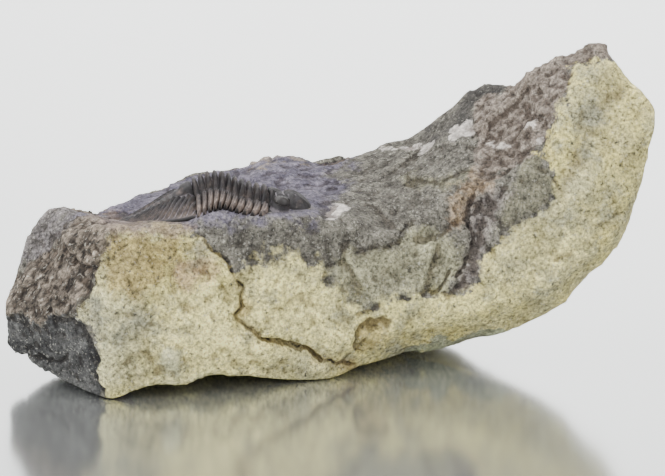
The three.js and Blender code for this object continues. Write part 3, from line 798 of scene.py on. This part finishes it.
def ring_shape(back, u, v, low):
    out = HALF_WIDTH * np.abs(u)
    k = np.clip((out - AXIS_HALF) / (HALF_WIDTH - AXIS_HALF), 0, 1)
    narrowing = 0.42 * ramp(0.78, 1, k)
    v = np.where(low, 0.5 + 1.16 * (v - 0.5), v)
    s = back + 0.03 + (RING_PITCH - 0.06) * v * (1 - narrowing)
    tip = 5.2 - 1.3 * ramp(TAIL_END, THORAX_END, s)
    hoop = 2.8 * (1 - np.clip(1 - (out / AXIS_HALF) ** 2.5, 0, 1) ** 0.55)
    drop = np.where(out < AXIS_HALF, hoop, 2.8 + (tip - 2.8) * k * k)
    on_hoop = ramp(AXIS_HALF + 0.3, AXIS_HALF - 0.5, out)
    ridge = np.clip(1 - np.abs((v - 0.42) / 0.42) ** 2.6, 0, 1)
    hoop_rise = 1.4 * ridge - 1.2 - 0.1 * ramp(0.8, 1, v)
    furrow = dip(v, 0.72 - 0.3 * k, 0.1) * ramp(0.02, 0.12, k) * ramp(0.96, 0.8, k)
    edge = np.clip(1 - np.abs(2 * v - 1) ** 3, 0, 1)
    rib_rise = 0.85 * edge - 0.7 - 0.3 * furrow + 0.4 * dip(k, 0.4, 0.28)
    rise = on_hoop * hoop_rise + (1 - on_hoop) * rib_rise
    rise -= 0.95 * dip(out, AXIS_HALF + 0.3, 0.55) * (0.4 + 0.6 * edge)
    rise += 0.25 * dip(out, 2.7, 0.5) * ridge
    rise -= 0.5 * ramp(0.93, 1, k) ** 2
    side = np.sign(u) * out
    top = on_arch(s, side, drop - rise)
    bottom = on_arch(s, side * 0.985, drop + 1.35)
    return np.where(low[:, None], bottom, top), 0.25 + 0.75 * ramp(0.25, 0.9, k)


for ring in range(1, RINGS + 1):
    piece, u, v, top_side = sheet(f"thorax_ring_{ring:02d}", 15, 128)
    back = TAIL_END + (RINGS - ring) * RING_PITCH
    shaped, tan_amount = ring_shape(back, u, (v + 1) / 2, ~top_side)
    shaped += 0.09 * swell(shaped, 1.1, 200 + ring)[:, None] * np.array([0.3, 0.3, 1])
    tan_amount = tan_amount * ramp(60, 36, shaped[:, 2])
    finish_plate(piece, shaped, tan_amount, f"thorax_segment_{ring:02d}")


# ---- Tail shield (pygidium) ------------------------------------------------------------------------------
# A long three-cornered plate of rings grown together. Its tapering middle lobe has fine hoops, and about
# fourteen ribs sweep back from it over each side, each split by a thin furrow, to a smooth narrow border.
piece, u, v, top_side = sheet("tail_shield", 120, 150)
s = 0.1 + (TAIL_END - 0.16) * (v + 1) / 2
k = np.clip(s / TAIL_END, 0, 1)
lobe = 0.25
half = 0.7 + (HALF_WIDTH - 0.9) * k**0.72 + 0.9 * ramp(0.02, 0.25, k) * ramp(1, 0.7, k)
out = np.abs(u)
high = 0.3 + 1.2 * ramp(0.7, 0.88, k) + 1.1 * ramp(0.9, 1, k)
rim = 1 + 4.2 * k
w = np.clip((out - lobe) / (1 - lobe), 0, 1)
over_lobe = high * (1 - np.sqrt(np.clip(1 - (out / lobe) ** 2, 0, 1)))
drop = np.where(out < lobe, over_lobe, high + (rim - high) * w * w)
hoops = 0.5 + 0.5 * np.cos(2 * np.pi * (s - 0.25 * out) / (0.75 + 0.55 * k))
rib_from = s + (3.2 + 3.4 * (1 - k)) * w**1.2
phase = (TAIL_END - rib_from) / 1.2
rib = 0.5 + 0.5 * np.cos(2 * np.pi * phase)
split = dip((phase + 0.12) % 1, 0.12, 0.07)
ribbed = ramp(0.02, 0.1, w) * ramp(0.93, 0.8, w) * ramp(0.06, 0.2, k)
on_axis = ramp(lobe + 0.03, lobe - 0.03, out) * ramp(0.08, 0.2, k)
rise = on_axis * (0.24 * hoops - 0.1 - 0.5 * ramp(0.8, 0.68, k) + 0.45 * dip(k, 0.9, 0.07))
rise += ribbed * (0.95 * rib**0.8 - 0.55 - 0.25 * split) * (0.45 + 0.55 * k)
rise -= (0.12 + 0.4 * ramp(0.7, 0.9, k)) * dip(out, lobe + 0.01, 0.035) * ramp(0.05, 0.25, k)
rise -= 0.22 * dip(w, 0.9, 0.045) * k
rise += 0.1 * dip(w, 0.97, 0.03) - 0.4 * ramp(0.8, 1, v) ** 3
top = on_arch(s, u * half, drop - rise)
bottom = on_arch(s, u * half * 0.97, drop + 0.8 + 0.3 * k)
shaped = np.where(top_side[:, None], top, bottom)
shaped += 0.06 * swell(shaped, 1.3, 221)[:, None] * np.array([0.2, 0.2, 1])
finish_plate(piece, shaped, 0.15 + 0.3 * ramp(0.3, 0.8, w) * ramp(0.95, 0.8, w), "pygidium")


# ---- Head shield (cephalon) ------------------------------------------------------------------------------
# A half-oval helmet. Its middle lobe swells forwards into a smooth bulb and carries three pairs of slits, a
# separate hoop closes it behind, and a tall kidney-shaped eye stands on each cheek inside a rolled border.
piece, u, v, top_side = sheet("head_shield", 130, 200)
s = THORAX_END + 0.05 + (SNOUT - THORAX_END - 0.05) * (v + 1) / 2
k = np.clip((s - THORAX_END) / (SNOUT - THORAX_END), 0, 1)
half = 1.2 + (HALF_WIDTH - 1.6) * np.sqrt(np.clip(1 - k**2.4, 0, 1))
t = u * half
out = np.abs(t)
p = s - THORAX_END
lobe = 3.4 + 2.2 * k
over_cheek = np.where(out > lobe, 2.3 + 1.8 * ramp(lobe, half, out), 0)
drop = np.maximum(2.3 * ramp(0.35 * lobe, 1.1 * lobe, out), over_cheek)
waist = 3.1 + 2.1 * ramp(2.6, 7.6, p)
bulb = 1 - ((p - 8.1) / 4.6) ** 2 - (out / 5.3) ** 2
rise = 1.15 * np.sqrt(np.clip(bulb, 0, 1)) - 0.55 - 0.2 * ramp(3, 9, p)
rise -= 0.75 * dip(out, waist, 0.5) * ramp(0.2, 0.7, p) * ramp(9.5, 7.5, p)
rise -= 0.45 * dip(bulb, -0.1, 0.4) * ramp(4.5, 7.5, p)
rise -= 0.75 * dip(p, 1.75, 0.45) * ramp(waist + 0.6, waist - 0.2, out)
rise += 0.45 * dip(p, 0.85, 0.55) * ramp(waist, waist - 0.6, out)
for place_along, depth in ((3.1, 0.34), (4.6, 0.3), (6.2, 0.25)):
    slit = dip(p - 0.25 * (out - 2), place_along, 0.42)
    rise -= depth * slit * ramp(0.9, 1.7, out) * ramp(waist + 0.2, waist - 0.3, out)
from_edge = (1 - np.abs(u)) * half * 0.9
rise -= 0.3 * dip(from_edge, 1.3, 0.4) * ramp(0.5, 2, p) + 0.45 * ramp(0.35, 0, from_edge)
rise -= 0.35 * dip(p, 1.5, 0.35) * ramp(waist + 0.4, waist + 1.2, out) * ramp(half - 0.6, half - 2, out)
mesa = 1 - ((p - 2.6) / 2.5) ** 2 - ((out - 6.0 + 0.1 * (p - 2.6) ** 2) / 1.55) ** 2
rise += np.where(t < 0, 3.0, 1.4) * ramp(-0.05, 0.5, mesa)
rise -= 0.35 * dip(out - 0.1 * (p - 3) ** 2, 4.75, 0.3) * ramp(0.2, 0.9, p) * ramp(6, 5, p)
top = on_arch(s, t, drop - rise)
bottom = on_arch(s, t * 0.97, drop + 1.6)
shaped = np.where(top_side[:, None], top, bottom)
shaped += (0.16 * swell(shaped, 1.9, 231) + 0.07 * swell(shaped, 0.8, 232))[:, None] * np.array([0.3, 0.3, 1])
finish_plate(piece, shaped, 0.02 + 0.8 * ramp(0.72, 0.9, np.abs(u)) * ramp(9, 6, p), "cephalon")

# An eye's outer face: a dark bead packed with rows of tiny lenses, set in the wall of its turret.
eye_look = bpy.data.materials.new("eye lenses")
eye_look.use_nodes = True
tree = eye_look.node_tree
skin = tree.nodes["Principled BSDF"]
where = node(tree, "ShaderNodeTexCoord").outputs["Object"]
beads = use(tree, rock_grain, {
    "Vector": where, "Tone": shade("1c1919"), "Second tone": shade("262221"),
    "Clot size": 0.9, "Grit": 0.3, "Specks": 0.1, "Grains": 0.1,
})
tree.links.new(beads["Color"], skin.inputs["Base Color"])
tree.links.new(remap(tree, noise(tree, where, 1800.0, 2.0), 0.3, 0.7, 0.42, 0.55), skin.inputs["Roughness"])
for side, label in ((-1, "near"), (1, "far")):
    bpy.ops.mesh.primitive_uv_sphere_add(segments=160, ring_count=56, radius=1)
    piece = bpy.context.active_object
    piece.name = piece.data.name = f"{label}_eye"
    ball = places(piece) / 1000
    turn = np.arctan2(ball[:, 1], ball[:, 0])
    height = np.arcsin(np.clip(ball[:, 2], -1, 1))
    row = height / math.radians(10)
    column = turn / math.radians(9) + 0.5 * (np.round(row) % 2)
    lens = np.clip(1 - np.hypot((column - np.round(column)) * 1.9, (row - np.round(row)) * 1.9), 0, 1)
    ball *= (1 + 0.028 * np.sqrt(lens) * ramp(1.25, 0.9, np.abs(height)))[:, None]
    s = THORAX_END + 2.7 + 1.9 * ball[:, 0]
    t = side * (6.45 - 0.09 * (1.9 * ball[:, 0]) ** 2 + 1.05 * ball[:, 1])
    shaped = on_arch(s, t, (1.3 if side < 0 else 2.6) - 1.25 * ball[:, 2])
    put(piece, shaped)
    bpy.ops.object.mode_set(mode="EDIT")
    bpy.ops.mesh.select_all(action="SELECT")
    bpy.ops.mesh.normals_make_consistent(inside=False)
    bpy.ops.object.mode_set(mode="OBJECT")
    bpy.ops.object.shade_smooth()
    piece.data.materials.append(eye_look)
    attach(piece, "root")


# ---- Floor, light and camera -----------------------------------------------------------------------------
# A pale glossy tabletop, a broad soft light overhead and from the left, and a long lens a little above.
bpy.ops.mesh.primitive_plane_add(size=6, location=(0, 0, -0.00002))
floor = bpy.context.active_object
floor.name = "tabletop"
floor_look = bpy.data.materials.new("glossy white tabletop")
floor_look.use_nodes = True
gloss = floor_look.node_tree.nodes["Principled BSDF"]
gloss.inputs["Base Color"].default_value = (0.6, 0.615, 0.61, 1)
gloss.inputs["Metallic"].default_value = 0.9
gloss.inputs["Roughness"].default_value = 0.15
floor.data.materials.append(floor_look)


def lamp(name, place, aim, size, power, tint=(1, 1, 1)):
    bpy.ops.object.light_add(type="AREA", location=place)
    made = bpy.context.active_object
    made.name = name
    made.data.shape = "RECTANGLE"
    made.data.size, made.data.size_y = size
    made.data.energy = power
    made.data.color = tint
    gaze = np.array(aim) - np.array(place)
    yaw = math.atan2(gaze[1], gaze[0]) - math.pi / 2
    pitch = math.atan2(gaze[2], math.hypot(gaze[0], gaze[1])) + math.pi / 2
    made.rotation_euler = (pitch, 0, yaw)
    return made


lamp("overhead softbox", (-0.15, 0.1, 0.8), (0, 0, 0.03), (1.0, 0.9), 14)
lamp("left softbox", (-0.7, -0.5, 0.45), (0, 0, 0.03), (0.6, 0.6), 10.5)
lamp("right fill", (0.8, -0.5, 0.4), (0, 0, 0.03), (0.7, 0.7), 6.5)
world = bpy.data.worlds.new("pale room")
bpy.context.scene.world = world
world.use_nodes = True
tree = world.node_tree
sky = tree.nodes["Background"]
gaze = node(tree, "ShaderNodeTexCoord").outputs["Generated"]
far_side = node(tree, "ShaderNodeVectorMath", {0: gaze, 1: (0.05, 0.997, 0.05)}, operation="DOT_PRODUCT")
glow = remap(tree, far_side.outputs["Value"], 0.86, 0.995, 0.95, 4.8, curve="SMOOTHSTEP")
sky.inputs["Color"].default_value = (0.885, 0.89, 0.885, 1)
tree.links.new(glow, sky.inputs["Strength"])

aim = MIDDLE / 1000
place = aim + TOWARDS_FRONT * FRONT_DISTANCE / 1000
bpy.ops.object.camera_add(location=place, rotation=(math.pi / 2 - FRONT_TILT, 0, 0))
camera = bpy.context.active_object
camera.data.sensor_width = 36
camera.data.lens = 147.7
camera.data.clip_start = 0.05
bpy.context.scene.camera = camera
